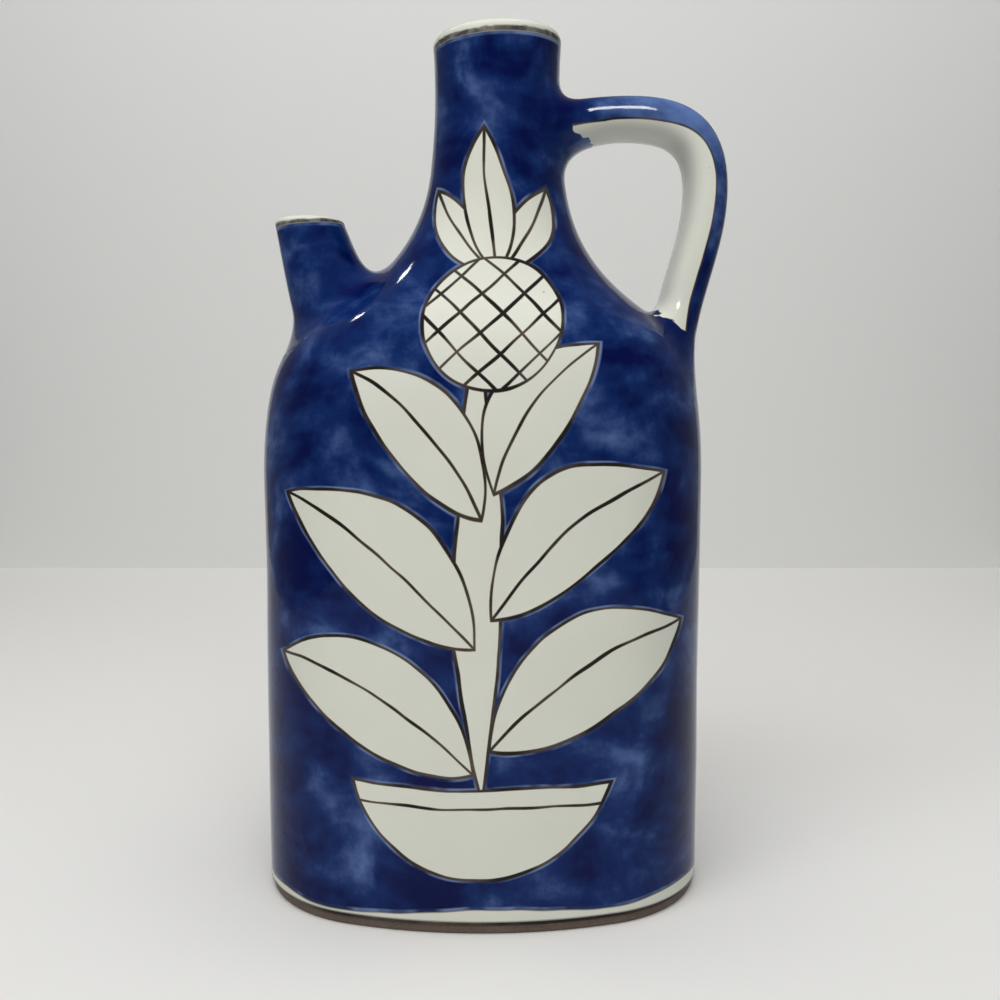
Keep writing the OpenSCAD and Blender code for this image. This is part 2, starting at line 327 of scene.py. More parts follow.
def fillet(start, corner, end):
    """Rings of a hollow curve from in the clay to end, on the vessel, and on to start, on the limb. The
    sunk rings close the limb inside the vessel's wall. The last of them lies just under its surface."""
    out = facing(end)
    up = start - corner
    # The curve leaves the vessel along its surface: it bends where the limb meets end's tangent plane.
    meets = np.sum((end - corner) * out, axis=1) / np.maximum(np.sum(up * out, axis=1), 0.1)
    bend = corner + np.clip(meets, *BEND_RANGE)[:, None] * up
    away = end - bend
    away /= np.linalg.norm(away, axis=1, keepdims=True)
    rings = [corner - WALL_T / 2 * facing(corner), end + SINK * (away - out),
             end + SINK * (away - SINK_SLOPE * out)]
    for u in np.linspace(0, 1, FILLET_STEPS):
        rings.append((1 - u) ** 2 * end + 2 * (1 - u) * u * bend + u ** 2 * start)
    return rings


# Meshes

def finish_piece(obj, clay_nodes):
    """A finished piece stands for its clay pieces and rides on the pitcher."""
    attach(obj, "root")
    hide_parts(*clay_nodes)


def apply_modifier(obj, modifier):
    """Keep what the modifier makes as a plain mesh."""
    mesh = bpy.data.meshes.new_from_object(obj.evaluated_get(bpy.context.evaluated_depsgraph_get()))
    obj.modifiers.remove(modifier)
    obj.data = mesh
    mesh.name = obj.name


def press_by_hand(mesh):
    """Shift the surface a little, and tip the neck's rim. Pieces shift alike where they meet."""
    co = np.zeros(len(mesh.vertices) * 3)
    mesh.vertices.foreach_get("co", co)
    co = co.reshape(-1, 3) / MM
    noise.seed_set(DENT_SEED)
    shift = np.array([noise.noise_vector(Vector(p / DENT_SPACING)) for p in co])
    co += DENT * shift * smooth_step((co[:, 2] - FLOOR_Z) / DENT_SPACING)[:, None]
    tipped = smooth_step((co[:, 2] - NECK_TOP) / (LIP_Z - NECK_TOP))
    near_neck = smooth_step((TIP_REACH - np.abs(co[:, 0] - NECK_X)) / NECK_R)
    co[:, 2] += RIM_TILT * (co[:, 0] - NECK_X) * tipped * near_neck
    mesh.vertices.foreach_set("co", (co * MM).ravel())
    mesh.update()


def loft(name, rings, materials, ring_material, ends):
    """A mesh through rings of points. Its ends are joined to each other ("ring") or capped ("cap"). Strips
    sunk in the clay are flat, so that they don't bend the light on the strips beside them."""
    rings = np.array(rings)
    m, n = rings.shape[:2]
    points = list(rings.reshape(-1, 3))
    faces, slots, smooth = [], [], []
    for i in range(m if ends == "ring" else m - 1):
        for j in range(n):
            k = (j + 1) % n
            a, b = i * n, ((i + 1) % m) * n
            faces.append((a + j, a + k, b + k, b + j))
            slots.append(ring_material(i))
            smooth.append(SUNK_RINGS - 2 < i < m - SUNK_RINGS)
    if ends == "cap":
        for i, flip in ((0, True), (m - 1, False)):
            points.append(rings[i].mean(axis=0))
            for j in range(n):
                edge = (i * n + j, i * n + (j + 1) % n)
                faces.append((*(edge[::-1] if flip else edge), len(points) - 1))
                slots.append(ring_material(i))
                smooth.append(False)
    mesh = bpy.data.meshes.new(name)
    mesh.from_pydata([tuple(p * MM) for p in points], [], faces)
    for material in materials:
        mesh.materials.append(material)
    mesh.polygons.foreach_set("material_index", slots)
    mesh.polygons.foreach_set("use_smooth", smooth)
    mesh.update()
    return link(bpy.data.objects.new(name, mesh))


# Node trees: the kinds of node they use most, and how a node and a group are made. A range's inputs are a
# value, its least and most, and what these become. A mix's inputs 6 and 7 are its colours.

MATH = "ShaderNodeMath"
VECTOR = "ShaderNodeVectorMath"
SPLIT = "ShaderNodeSeparateXYZ"
JOIN = "ShaderNodeCombineXYZ"
NOISE = "ShaderNodeTexNoise"
RANGE = "ShaderNodeMapRange"
MIX = "ShaderNodeMix"
GROUP = "ShaderNodeGroup"
ATTRIBUTE = "ShaderNodeAttribute"


def add(tree, kind, inputs=(), operation=None, **settings):
    """Add a node with its operation and settings, and values or links for its inputs, in order or by key.
    Return its first output in use."""
    node = tree.nodes.new(kind)
    if operation:
        node.operation = operation
    for name, value in settings.items():
        setattr(node, name, value)
    for key, value in inputs.items() if isinstance(inputs, dict) else enumerate(inputs):
        if isinstance(value, bpy.types.NodeSocket):
            tree.links.new(value, node.inputs[key])
        else:
            node.inputs[key].default_value = value
    return next((o for o in node.outputs if o.enabled), node)


def new_group(name, inputs, outputs, kind="ShaderNodeTree"):
    """An empty group with its sockets, and the sockets of its inputs."""
    tree = bpy.data.node_groups.new(name, kind)
    for sockets, way in ((inputs, "INPUT"), (outputs, "OUTPUT")):
        for socket, value in sockets.items():
            tree.interface.new_socket(socket, in_out=way, socket_type="NodeSocket" + value)
    return tree, tree.nodes.new("NodeGroupInput").outputs


# Oval pot: the rings of a profile, each an oval of four arcs, with the middle moving over to the neck

def oval_pot_tree():
    sizes = ("Side Crowding", "Full Width", "Full Depth", "End Offset", "Side Offset", "Neck Offset")
    inputs = {"Profile": "Object", "Columns": "Int", **dict.fromkeys(sizes, "Float"), "Lip Ring": "Int",
              "Outside": "Material", "Inside": "Material"}
    tree, given = new_group("oval_pot", inputs, {"Geometry": "Geometry"}, "GeometryNodeTree")

    info = add(tree, "GeometryNodeObjectInfo", {"Object": given["Profile"]}).node
    points = add(tree, "GeometryNodeCurveToPoints", [info.outputs["Geometry"]], mode="EVALUATED")
    rings = add(tree, "GeometryNodeAttributeDomainSize", [points], component="POINTCLOUD")
    columns = add(tree, MATH, [given["Columns"], 1.0], "ADD")
    grid = add(tree, "GeometryNodeMeshGrid", {"Vertices X": columns, "Vertices Y": rings})

    index = add(tree, "GeometryNodeInputIndex")
    ring = add(tree, MATH, [index, rings], "FLOORED_MODULO")
    row = add(tree, MATH, [index, rings], "DIVIDE")
    column = add(tree, MATH, [row], "FLOOR")
    share = add(tree, MATH, [column, given["Columns"]], "DIVIDE")
    angle = add(tree, MATH, [share, 2 * math.pi], "MULTIPLY")

    held = tree.nodes.new("GeometryNodeCaptureAttribute")
    held.capture_items.new("FLOAT", "Ring")
    tree.links.new(grid, held.inputs["Geometry"])
    tree.links.new(ring, held.inputs["Ring"])

    position = add(tree, "GeometryNodeInputPosition")
    place = add(tree, "GeometryNodeSampleIndex", {"Geometry": points, "Value": position, "Index": ring},
                data_type="FLOAT_VECTOR")
    half = add(tree, SPLIT, [place]).node.outputs

    # How oval the ring is: 0 where it is round and 1 where it is the full oval
    longer = add(tree, MATH, [half["X"], half["Y"]], "SUBTRACT")
    most = add(tree, MATH, [given["Full Width"], given["Full Depth"]], "SUBTRACT")
    oval = add(tree, MATH, [longer, most], "DIVIDE")
    end_x = add(tree, MATH, [oval, given["End Offset"]], "MULTIPLY")
    side_y = add(tree, MATH, [oval, given["Side Offset"]], "MULTIPLY")
    end_r = add(tree, MATH, [half["X"], end_x], "SUBTRACT")
    side_r = add(tree, MATH, [half["Y"], side_y], "ADD")

    # The way that each column faces, with the columns crowded on to the flatter sides
    across = add(tree, MATH, [angle], "COSINE")
    along = add(tree, MATH, [angle], "SINE")
    crowded = add(tree, MATH, [along, given["Side Crowding"]], "MULTIPLY")
    wide = add(tree, JOIN, [across, crowded])
    way = add(tree, VECTOR, [wide], "NORMALIZE")
    turned = add(tree, SPLIT, [way]).node.outputs
    joint = add(tree, JOIN, [given["End Offset"], given["Side Offset"]])
    joint_way = add(tree, VECTOR, [joint], "NORMALIZE")
    joint_x = add(tree, SPLIT, [joint_way]).node.outputs["X"]
    to_end = add(tree, MATH, [turned["X"]], "ABSOLUTE")
    at_end = add(tree, "FunctionNodeCompare", [to_end, joint_x], "GREATER_THAN")

    right = add(tree, MATH, [turned["X"]], "SIGN")
    behind = add(tree, MATH, [turned["Y"]], "SIGN")
    end_at = add(tree, MATH, [right, end_x], "MULTIPLY")
    side_back = add(tree, MATH, [behind, side_y], "MULTIPLY")
    side_at = add(tree, MATH, [side_back, -1.0], "MULTIPLY")
    end_middle = add(tree, JOIN, [end_at])
    side_middle = add(tree, JOIN, {1: side_at})
    arc_middle = add(tree, "GeometryNodeSwitch", {"Switch": at_end, "False": side_middle,
                                                  "True": end_middle}, input_type="VECTOR")
    arc_r = add(tree, "GeometryNodeSwitch", {"Switch": at_end, "False": side_r, "True": end_r},
                input_type="FLOAT")
    reached = add(tree, VECTOR, {0: way, "Scale": arc_r}, "SCALE")
    rounder = add(tree, MATH, [1.0, oval], "SUBTRACT")
    neck_share = add(tree, MATH, [rounder, given["Neck Offset"]], "MULTIPLY")
    lifted = add(tree, JOIN, {0: neck_share, 2: half["Z"]})
    on_arc = add(tree, VECTOR, [arc_middle, reached], "ADD")
    spot = add(tree, VECTOR, [on_arc, lifted], "ADD")

    placed = add(tree, "GeometryNodeSetPosition", {"Geometry": held.outputs["Geometry"],
                                                   "Position": spot})
    closed = add(tree, "GeometryNodeMergeByDistance", {"Geometry": placed, "Distance": 0.01 * MM})
    smooth = add(tree, "GeometryNodeSetShadeSmooth", {"Geometry": closed})
    real = add(tree, "GeometryNodeRealizeInstances", [smooth])
    past_lip = add(tree, "FunctionNodeCompare", [held.outputs["Ring"], given["Lip Ring"]], "GREATER_THAN")
    coated = add(tree, "GeometryNodeSetMaterial", {"Geometry": real, "Material": given["Outside"]})
    lined = add(tree, "GeometryNodeSetMaterial", {"Geometry": coated, "Selection": past_lip,
                                                  "Material": given["Inside"]})
    add(tree, "NodeGroupOutput", [lined])
    return tree


def oval_pot(name, tree, stretches, lip_ring, outside, inside):
    """Build a piece from its profile by the oval pot tree, and keep the result as a plain mesh."""
    curve = bpy.data.curves.new(name + "_profile", "CURVE")
    curve.dimensions = "3D"
    curve.resolution_u = PROFILE_STEPS
    spline = curve.splines.new("BEZIER")
    spline.bezier_points.add(len(stretches))
    controls = [in_space(*s) for s in stretches]
    for i, knot in enumerate(spline.bezier_points):
        before = controls[i - 1] if i > 0 else None
        after = controls[i] if i < len(controls) else None
        at = after[0] if after is not None else before[3]
        knot.handle_left_type = knot.handle_right_type = "FREE"
        knot.co = at * MM
        knot.handle_left = (before[2] if before is not None else at) * MM
        knot.handle_right = (after[1] if after is not None else at) * MM
    profile = link(bpy.data.objects.new(name + "_profile", curve))

    obj = link(bpy.data.objects.new(name, bpy.data.meshes.new(name)))
    build = obj.modifiers.new("build", "NODES")
    build.node_group = tree
    values = {"Profile": profile, "Columns": COLUMNS, "Side Crowding": SIDE_CROWDING,
              "Full Width": HALF_W * MM, "Full Depth": HALF_D * MM, "End Offset": END_X * MM,
              "Side Offset": SIDE_Y * MM, "Neck Offset": NECK_X * MM, "Lip Ring": lip_ring,
              "Outside": outside, "Inside": inside}
    for socket in tree.interface.items_tree:
        if socket.name in values:
            build[socket.identifier] = values[socket.name]
    apply_modifier(obj, build)
    bpy.data.objects.remove(profile)
    return obj


# Spout: a leaning cone with a clay fillet at its root, a rolled lip and a bore

spout_at = np.array([SPOUT_IN - HALF_W, 0, MOUTH_Z])
spout_way = np.array([-math.sin(SPOUT_LEAN), 0, math.cos(SPOUT_LEAN)])
spout_side = np.array([math.cos(SPOUT_LEAN), 0, math.sin(SPOUT_LEAN)])
back = np.array([0, 1.0, 0])
spout_angle = np.linspace(0, 2 * math.pi, SPOUT_COLUMNS, endpoint=False)
spout_radial = np.cos(spout_angle)[:, None] * spout_side + np.sin(spout_angle)[:, None] * back


def spout_point(s, inset=0.0):
    """The points of the cone's columns at s along its axis, up from its mouth."""
    s = np.asarray(s, float)[..., None]
    return spout_at + s * spout_way + (SPOUT_R - inset - SPOUT_TAPER * s) * spout_radial


def spout_level(z, inset=0.0):
    """Where the cone's columns reach a height."""
    rise = spout_way[2] - SPOUT_TAPER * spout_radial[:, 2]
    return (z - spout_at[2] - (SPOUT_R - inset) * spout_radial[:, 2]) / rise


def spout_rings():
    """Rings of the spout: its fillet, its outside up to the lip, over the lip and down the bore."""
    root = crossing(spout_point, *(np.full(SPOUT_COLUMNS, s) for s in SPOUT_ROOT))
    corner = spout_point(root)
    up = SPOUT_FILLET + SPOUT_FILLET_TO_NECK * (1 + np.cos(spout_angle)) / 2
    rings = fillet(spout_point(root + up), corner, settle(corner, spout_way, spout_radial, up))

    lip = SPOUT_T / 2
    top_out = spout_level(MOUTH_Z - lip)
    top_in = spout_level(MOUTH_Z - lip, SPOUT_T)
    for u in np.linspace(0, 1, SPOUT_STEPS + 1)[1:]:
        rings.append(spout_point(root + up + (top_out - root - up) * u))
    outer, inner = spout_point(top_out), spout_point(top_in, SPOUT_T)
    for u in np.linspace(0, math.pi, LIP_STEPS + 1)[1:]:
        half = (outer - inner) / 2
        rings.append((outer + inner) / 2 + half * math.cos(u) + np.array([0, 0, lip * math.sin(u)]))
    deep = root - WALL_T / 2
    for u in np.linspace(0, 1, BORE_STEPS + 1)[1:]:
        rings.append(spout_point(top_in + (deep - top_in) * u, SPOUT_T))
    return rings


LINED_RING = SUNK_RINGS + FILLET_STEPS + SPOUT_STEPS + LINED_LIP_STEP


def cut_bore(vessel, lining):
    """Cut the spout's bore, continued through the shoulder, out of the vessel, and line the cut."""
    rings = [spout_point(s, SPOUT_T) for s in BORE_CUT]
    cutter = loft("bore_cutter", rings, [lining], lambda i: 0, "cap")
    cut = vessel.modifiers.new("bore", "BOOLEAN")
    cut.object = cutter
    cut.operation = "DIFFERENCE"
    cut.solver = "EXACT"
    cut.material_mode = "TRANSFER"
    apply_modifier(vessel, cut)
    bpy.data.objects.remove(cutter)


# Handle: a rounded strap along two cubics, with clay fillets on the neck and the shoulder

strap_path = [
    [STRAP_START, np.array([(STRAP_START[0] + STRAP_FAR[0]) / 2, STRAP_START[1] + STRAP_CLIMB]),
     np.array([STRAP_FAR[0], STRAP_START[1] + STRAP_ARCH]), STRAP_FAR],
    [STRAP_FAR, STRAP_FAR - np.array([0, STRAP_BEND]), STRAP_FOOT + STRAP_STAND, STRAP_FOOT],
]


def strap_line(t):
    """Middle and direction of the strap, in x and z, from t = 0 in the neck to 2 in the shoulder."""
    t = np.clip(t, 0, 2)
    first = (t <= 1)[..., None]
    at = np.where(first, cubic(strap_path[0], t), cubic(strap_path[1], t - 1))
    way = np.where(first, cubic_slope(strap_path[0], t), cubic_slope(strap_path[1], t - 1))
    return at, way / np.linalg.norm(way, axis=-1, keepdims=True)


def signed_power(v, power):
    return np.sign(v) * np.abs(v) ** power


def half_strap(t):
    """Half of the strap's thickness, which grows towards the foot."""
    return (STRAP_T + STRAP_SWELL * t / 2) / 2


# Section of the strap: x to its inner side and y to the back, as shares of half its thickness and width
strap_angle = np.linspace(0, 2 * math.pi, STRAP_COLUMNS, endpoint=False)
strap_section = signed_power(np.stack([np.cos(strap_angle), np.sin(strap_angle)], 1), 2 / STRAP_ROUND)
strap_normal = signed_power(strap_section, STRAP_ROUND - 1) / np.array([STRAP_T, STRAP_W])
strap_normal /= np.linalg.norm(strap_normal, axis=1, keepdims=True)


def strap_frame(t, section):
    """The section's vectors, turned square to the strap at t."""
    at, way = strap_line(t)
    inner = np.stack([way[..., 1], -way[..., 0]], -1)
    across = inner * section[:, :1]
    return at, way, np.stack([across[..., 0], section[:, 1], across[..., 1]], -1)


def strap_point(t):
    size = np.stack([half_strap(t), np.full(STRAP_COLUMNS, STRAP_W / 2)], 1)
    at, _, offset = strap_frame(t, strap_section * size)
    return np.stack([at[..., 0], np.zeros_like(at[..., 0]), at[..., 1]], -1) + offset


def strap_root(inside_t, outside_t, reach):
    """Where each column's fillet starts on the strap, and the fillet's rings. It reaches up the strap and
    out on the vessel."""
    up, out = reach.T
    outwards = math.copysign(1, outside_t - inside_t)
    t = crossing(strap_point, np.full(STRAP_COLUMNS, inside_t), np.full(STRAP_COLUMNS, outside_t))
    corner = strap_point(t)
    step = 0.005
    speed = np.linalg.norm(strap_point(t + step) - strap_point(t - step), axis=1) / (2 * step)
    start_t = t + outwards * up / speed
    _, way, normal = strap_frame(t, strap_normal)
    way = np.stack([way[:, 0], np.zeros(STRAP_COLUMNS), way[:, 1]], 1) * outwards
    return start_t, fillet(strap_point(start_t), corner, settle(corner, way, normal, out))


def handle_rings():
    """Rings of the handle, and where its two fillets start."""
    inner = strap_normal[:, :1]
    front = np.abs(strap_normal[:, 1:])
    outer = np.maximum(-inner, 0)
    top_t, top = strap_root(*NECK_ROOT, NECK_FILLET + NECK_FILLET_INNER * inner)
    foot_reach = FOOT_FILLET + FOOT_FILLET_FRONT * front + FOOT_FILLET_OUTER * outer
    foot_t, foot = strap_root(*FOOT_ROOT, foot_reach)
    shares = np.linspace(0, 1, STRAP_STEPS + 1)[1:-1]
    between = [strap_point(top_t + (foot_t - top_t) * u) for u in shares]
    return top + between + foot[::-1], top_t, foot_t


def handle_paint(rings, top_t, foot_t):
    """How far each point lies past the blue's edge, on the white inner side, and past the blue at the two
    ends, and how much paler the blue is drawn over the arch and its crest, which is painted sheen."""
    first = SUNK_RINGS + FILLET_STEPS - 1
    steps = np.clip((np.arange(len(rings)) - first) / (len(rings) - 1 - 2 * first), 0, 1)
    t = top_t + (foot_t - top_t) * steps[:, None]
    # The blue wraps furthest under the strap at the neck, and covers its outer edge from the corner down.
    wraps = (1 - smooth_step((t - 0.5) / 0.5)) + (1 - smooth_step(t / 0.34))
    rings = np.array(rings)
    step = np.linalg.norm(np.diff(rings, axis=0), axis=2)
    along = np.concatenate([np.zeros((1, STRAP_COLUMNS)), np.cumsum(step, axis=0)])
    blue_below = BLUE_BELOW + BLUE_BELOW_INNER * np.maximum(strap_section[:, 0], 0)
    past_end = np.minimum(along - along[SUNK_RINGS] - BLUE_AT_NECK, rings[..., 2] - blue_below)
    # Painted sheen: the blue is drawn paler over the crest and along the arch.
    crest = smooth_step((t - 0.22) / 0.25) * (1 - smooth_step((t - 0.6) / 0.4))
    arch = smooth_step((t - 0.2) / 0.25) * (1 - smooth_step((t - 1.2) / 0.3))
    past_edge = half_strap(t) * strap_section[:, 0] - BLUE_EDGE - BLUE_WRAP * wraps
    return past_edge, past_end, PAINTED_SHEEN_ON_CREST * crest + PAINTED_SHEEN_ON_ARCH * arch


def point_values(mesh, name, values):
    attribute = mesh.attributes.new(name, "FLOAT", "POINT")
    filled = np.zeros(len(mesh.vertices), np.float32)
    filled[:values.size] = values.ravel()
    attribute.data.foreach_set("value", filled)


# Materials: places are in millimetres, so a pattern's scale is one over the size of its marks

# A fired glaze is near 1.5. It is lower here, so that the even studio mirrors no more than in the photo.
GLAZE_IOR = 1.22

# Half of a painted edge's blur, a distance at which no line shows, and a surface with no paint on it yet
BLUR = 0.15
NO_LINE = 50.0
BARE = {"White": 0.0, "Ink": 0.0, "Nearest": 1000.0}

# The painter's hand sways slowly and shakes a little.
SWAY = 9.0
SHAKE = 1.0

# White and line under the two lips, the spout's tilt, and the tops of the band and the line at the foot
RIM_WHITE = 3.0
RIM_LINE = 1.7
MOUTH_WHITE = 1.4
MOUTH_LINE = 1.4
MOUTH_TILT = 0.06
BAND_TOP = 7.1
FOOT_LINE_TOP = 4.9


def linear(hex_colour):
    """An sRGB hex colour as linear RGBA."""
    parts = [int(hex_colour[i:i + 2], 16) / 255 for i in (1, 3, 5)]
    return (*[c / 12.92 if c <= 0.04045 else ((c + 0.055) / 1.055) ** 2.4 for c in parts], 1.0)


def new_material(name):
    """An empty material, its tree and the place on the piece."""
    material = bpy.data.materials.new(name)
    material.use_nodes = True
    tree = material.node_tree
    tree.nodes.clear()
    where = add(tree, "ShaderNodeTexCoord").node.outputs["Object"]
    return material, tree, add(tree, VECTOR, {0: where, "Scale": 1 / MM}, "SCALE")


def fired_gloss(tree, place, colour, roughness):
    """The glassy skin of a glaze, which rippled slightly as it ran."""
    ripple = add(tree, NOISE, {"Vector": place, "Scale": 1 / 7, "Detail": 2.0})
    surface = add(tree, "ShaderNodeBump", {"Strength": 0.12, "Distance": 0.6 * MM, "Height": ripple})
    shader = add(tree, "ShaderNodeBsdfPrincipled", {"Base Color": colour, "Roughness": roughness,
                                                    "IOR": GLAZE_IOR, "Normal": surface})
    add(tree, "ShaderNodeOutputMaterial", {"Surface": shader})


def cobalt_brushwork():
    """Cobalt oxide brushed into the glaze: deep pools, thin pale streaks and fine speckle. Low on the wall
    it is drawn darker, which is painted shade, and its second input pales it with painted sheen."""
    tree, given = new_group("cobalt_brushwork", {"Place": "Vector", "Thin": "Float"}, {"Color": "Color"})
    pools = add(tree, NOISE, {"Vector": given["Place"], "Scale": 1 / 27, "Detail": 3.0, "Roughness": 0.6,
                              "Distortion": 0.4})
    drift = add(tree, NOISE, {"Vector": given["Place"], "Scale": 1 / 36, "Detail": 1.0})
    swept = add(tree, VECTOR, [drift.node.outputs["Color"], (20.0,) * 3, given["Place"]], "MULTIPLY_ADD")
    drawn = add(tree, VECTOR, [swept, (0.45, 0.45, 1.0)], "MULTIPLY")
    strokes = add(tree, NOISE, {"Vector": drawn, "Scale": 1 / 8, "Detail": 1.5, "Roughness": 0.5})
    brushed = add(tree, MATH, [strokes, 0.36, pools], "MULTIPLY_ADD")
    # Real grains are about 0.2 mm across. They are drawn at 1.4 mm, so that they show.
    grain = add(tree, NOISE, {"Vector": given["Place"], "Scale": 1 / 1.4, "Detail": 2.0})
    grained = add(tree, MATH, [grain, 0.1, brushed], "MULTIPLY_ADD")
    height = add(tree, SPLIT, [given["Place"]]).node.outputs["Z"]
    # Painted shade: the blue is drawn darker low on the wall, from 120 mm down to 25 mm.
    painted_shade_low = add(tree, RANGE, [height, 25.0, 120.0, -0.055, 0.0])
    grain_and_painted_shade = add(tree, MATH, [grained, painted_shade_low], "ADD")
    thinness_and_painted_light = add(tree, MATH, [grain_and_painted_shade, given["Thin"]], "ADD")
    pooled_and_painted_light = add(tree, RANGE, [thinness_and_painted_light, 0.52, 0.79], interpolation_type="SMOOTHSTEP")
    thinned_and_painted_light = add(tree, RANGE, [thinness_and_painted_light, 0.71, 1.12], interpolation_type="SMOOTHSTEP")
    deep = add(tree, MIX, {0: pooled_and_painted_light, 6: linear("#010b42"), 7: linear("#0f2a61")}, data_type="RGBA")
    fine = add(tree, MIX, {0: thinned_and_painted_light, 6: deep, 7: linear("#5a74a8")}, data_type="RGBA")
    add(tree, "NodeGroupOutput", [fine])
    return tree


def tin_white():
    """Opaque tin glaze: warm white, faintly clouded, with a few iron specks."""
    tree, given = new_group("tin_white", {"Place": "Vector"}, {"Color": "Color"})
    cloud = add(tree, NOISE, {"Vector": given["Place"], "Scale": 1 / 26, "Detail": 3.0})
    body = add(tree, MIX, {0: cloud, 6: linear("#d6d7ca"), 7: linear("#dedfd4")}, data_type="RGBA")
    spots = add(tree, "ShaderNodeTexVoronoi", {"Vector": given["Place"], "Scale": 1 / 6.5})
    sizes = add(tree, NOISE, {"Vector": given["Place"], "Scale": 1 / 11, "Detail": 0.0})
    reach = add(tree, RANGE, [sizes, 0.5, 0.75, 0.0, 0.07])
    inside = add(tree, MATH, [reach, spots], "SUBTRACT")
    speck = add(tree, RANGE, {0: inside, 1: -0.01, 2: 0.03, 4: 0.6})
    specked = add(tree, MIX, {0: speck, 6: body, 7: linear("#7c6f5f")}, data_type="RGBA")
    add(tree, "NodeGroupOutput", [specked])
    return tree


def manganese_ink():
    """Manganese crayon: brown-black, thin and brown where the stroke was light."""
    outputs = {"Color": "Color", "Half Width": "Float"}
    tree, given = new_group("manganese_ink", {"Place": "Vector"}, outputs)
    load = add(tree, NOISE, {"Vector": given["Place"], "Scale": 1 / 19, "Detail": 2.0})
    loaded = add(tree, RANGE, [load, 0.35, 0.65], interpolation_type="SMOOTHSTEP")
    # Real grit is about 0.2 mm across. It is drawn at 0.7 mm, so that it shows.
    grit = add(tree, NOISE, {"Vector": given["Place"], "Scale": 1 / 0.7, "Detail": 1.0})
    gritty = add(tree, MATH, [grit, 0.5, -0.15], "MULTIPLY_ADD")
    tone = add(tree, MATH, [loaded, gritty], "ADD", use_clamp=True)
    colour = add(tree, MIX, {0: tone, 6: linear("#564b42"), 7: linear("#221d19")}, data_type="RGBA")
    half = add(tree, RANGE, [load, 0.3, 0.7, 0.4, 0.7])
    add(tree, "NodeGroupOutput", [colour, half])
    return tree


def painted_leaf():
    """Distance to the edge of a bowed, pointed leaf, and to its midrib. Its x runs from stalk to tip."""
    inputs = {"Place": "Vector", **dict.fromkeys(("Half Length", "Radius", "Offset", "Bow"), "Float")}
    tree, given = new_group("painted_leaf", inputs, {"Edge": "Float", "Midrib": "Float"})
    own = add(tree, SPLIT, [given["Place"]]).node.outputs
    share = add(tree, MATH, [own["X"], given["Half Length"]], "DIVIDE")
    squared = add(tree, MATH, [share, share], "MULTIPLY")
    inverse = add(tree, MATH, [1.0, squared], "SUBTRACT")
    bowed = add(tree, MATH, [inverse, given["Bow"]], "MULTIPLY")
    side = add(tree, MATH, [own["Y"], bowed], "SUBTRACT")
    off = add(tree, MATH, [side], "ABSOLUTE")
    out = add(tree, MATH, [off, given["Offset"]], "ADD")
    spot = add(tree, JOIN, [own["X"], out])
    far = add(tree, VECTOR, [spot], "LENGTH")
    edge = add(tree, MATH, [far, given["Radius"]], "SUBTRACT")
    add(tree, "NodeGroupOutput", [edge, off])
    return tree


def laid_over():
    """Lay one outlined shape over what is painted: white inside, ink on its edge and its inner lines."""
    inputs = dict.fromkeys((*BARE, "Edge", "Line", "Half Width"), "Float")
    tree, given = new_group("laid_over", inputs, dict.fromkeys(BARE, "Float"))
    within = add(tree, RANGE, [given["Edge"], BLUR, -BLUR])
    off = add(tree, MATH, [given["Edge"]], "ABSOLUTE")
    inner = add(tree, RANGE, [given["Edge"], -0.2, 0.2, 0.0, NO_LINE])
    lined = add(tree, MATH, [given["Line"], inner], "ADD")
    nearer = add(tree, MATH, [off, lined], "MINIMUM")
    from_line = add(tree, MATH, [nearer, given["Half Width"]], "SUBTRACT")
    drawn = add(tree, RANGE, [from_line, 0.14, -0.14])
    outside = add(tree, MATH, [1.0, within], "SUBTRACT")
    kept = add(tree, MATH, [given["Ink"], outside], "MULTIPLY")
    ink = add(tree, MATH, [kept, drawn], "MAXIMUM")
    white = add(tree, MATH, [given["White"], within], "MAXIMUM")
    nearest = add(tree, MATH, [given["Nearest"], given["Edge"]], "MINIMUM")
    add(tree, "NodeGroupOutput", [white, ink, nearest])
    return tree


PAINTS = (cobalt_brushwork, tin_white, manganese_ink, painted_leaf, laid_over)
GROUPS = {make.__name__: make() for make in PAINTS}

# Leaves of the painted plant: stalk's x and z, direction in degrees from +X, length, width and bow
LEAVES = [
    (0, 48, 90, 150, 15, 1.5),
    (-3, 58, 152, 76, 35, -5),
    (3, 66, 30, 76, 36, 5),
    (-2, 100, 143, 78, 35, -6),
    (3, 110, 40, 76, 34, 6),
    (-1, 143, 132, 62, 28, -5),
    (3, 150, 52, 60, 27, 5),
    (4, 222, 120, 36, 14, 2),
    (5, 222, 62, 38, 14, -2),
    (4, 222, 91, 52, 17, 0),
]
FRUIT_AT = (4.0, 205.0)
FRUIT_R = 23.0
FRUIT_NET = 9.5
BOWL_AT = (0.0, 64.0)
BOWL_R = 46.0
BOWL_TOP = 52.0
BOWL_BAND = 7.0


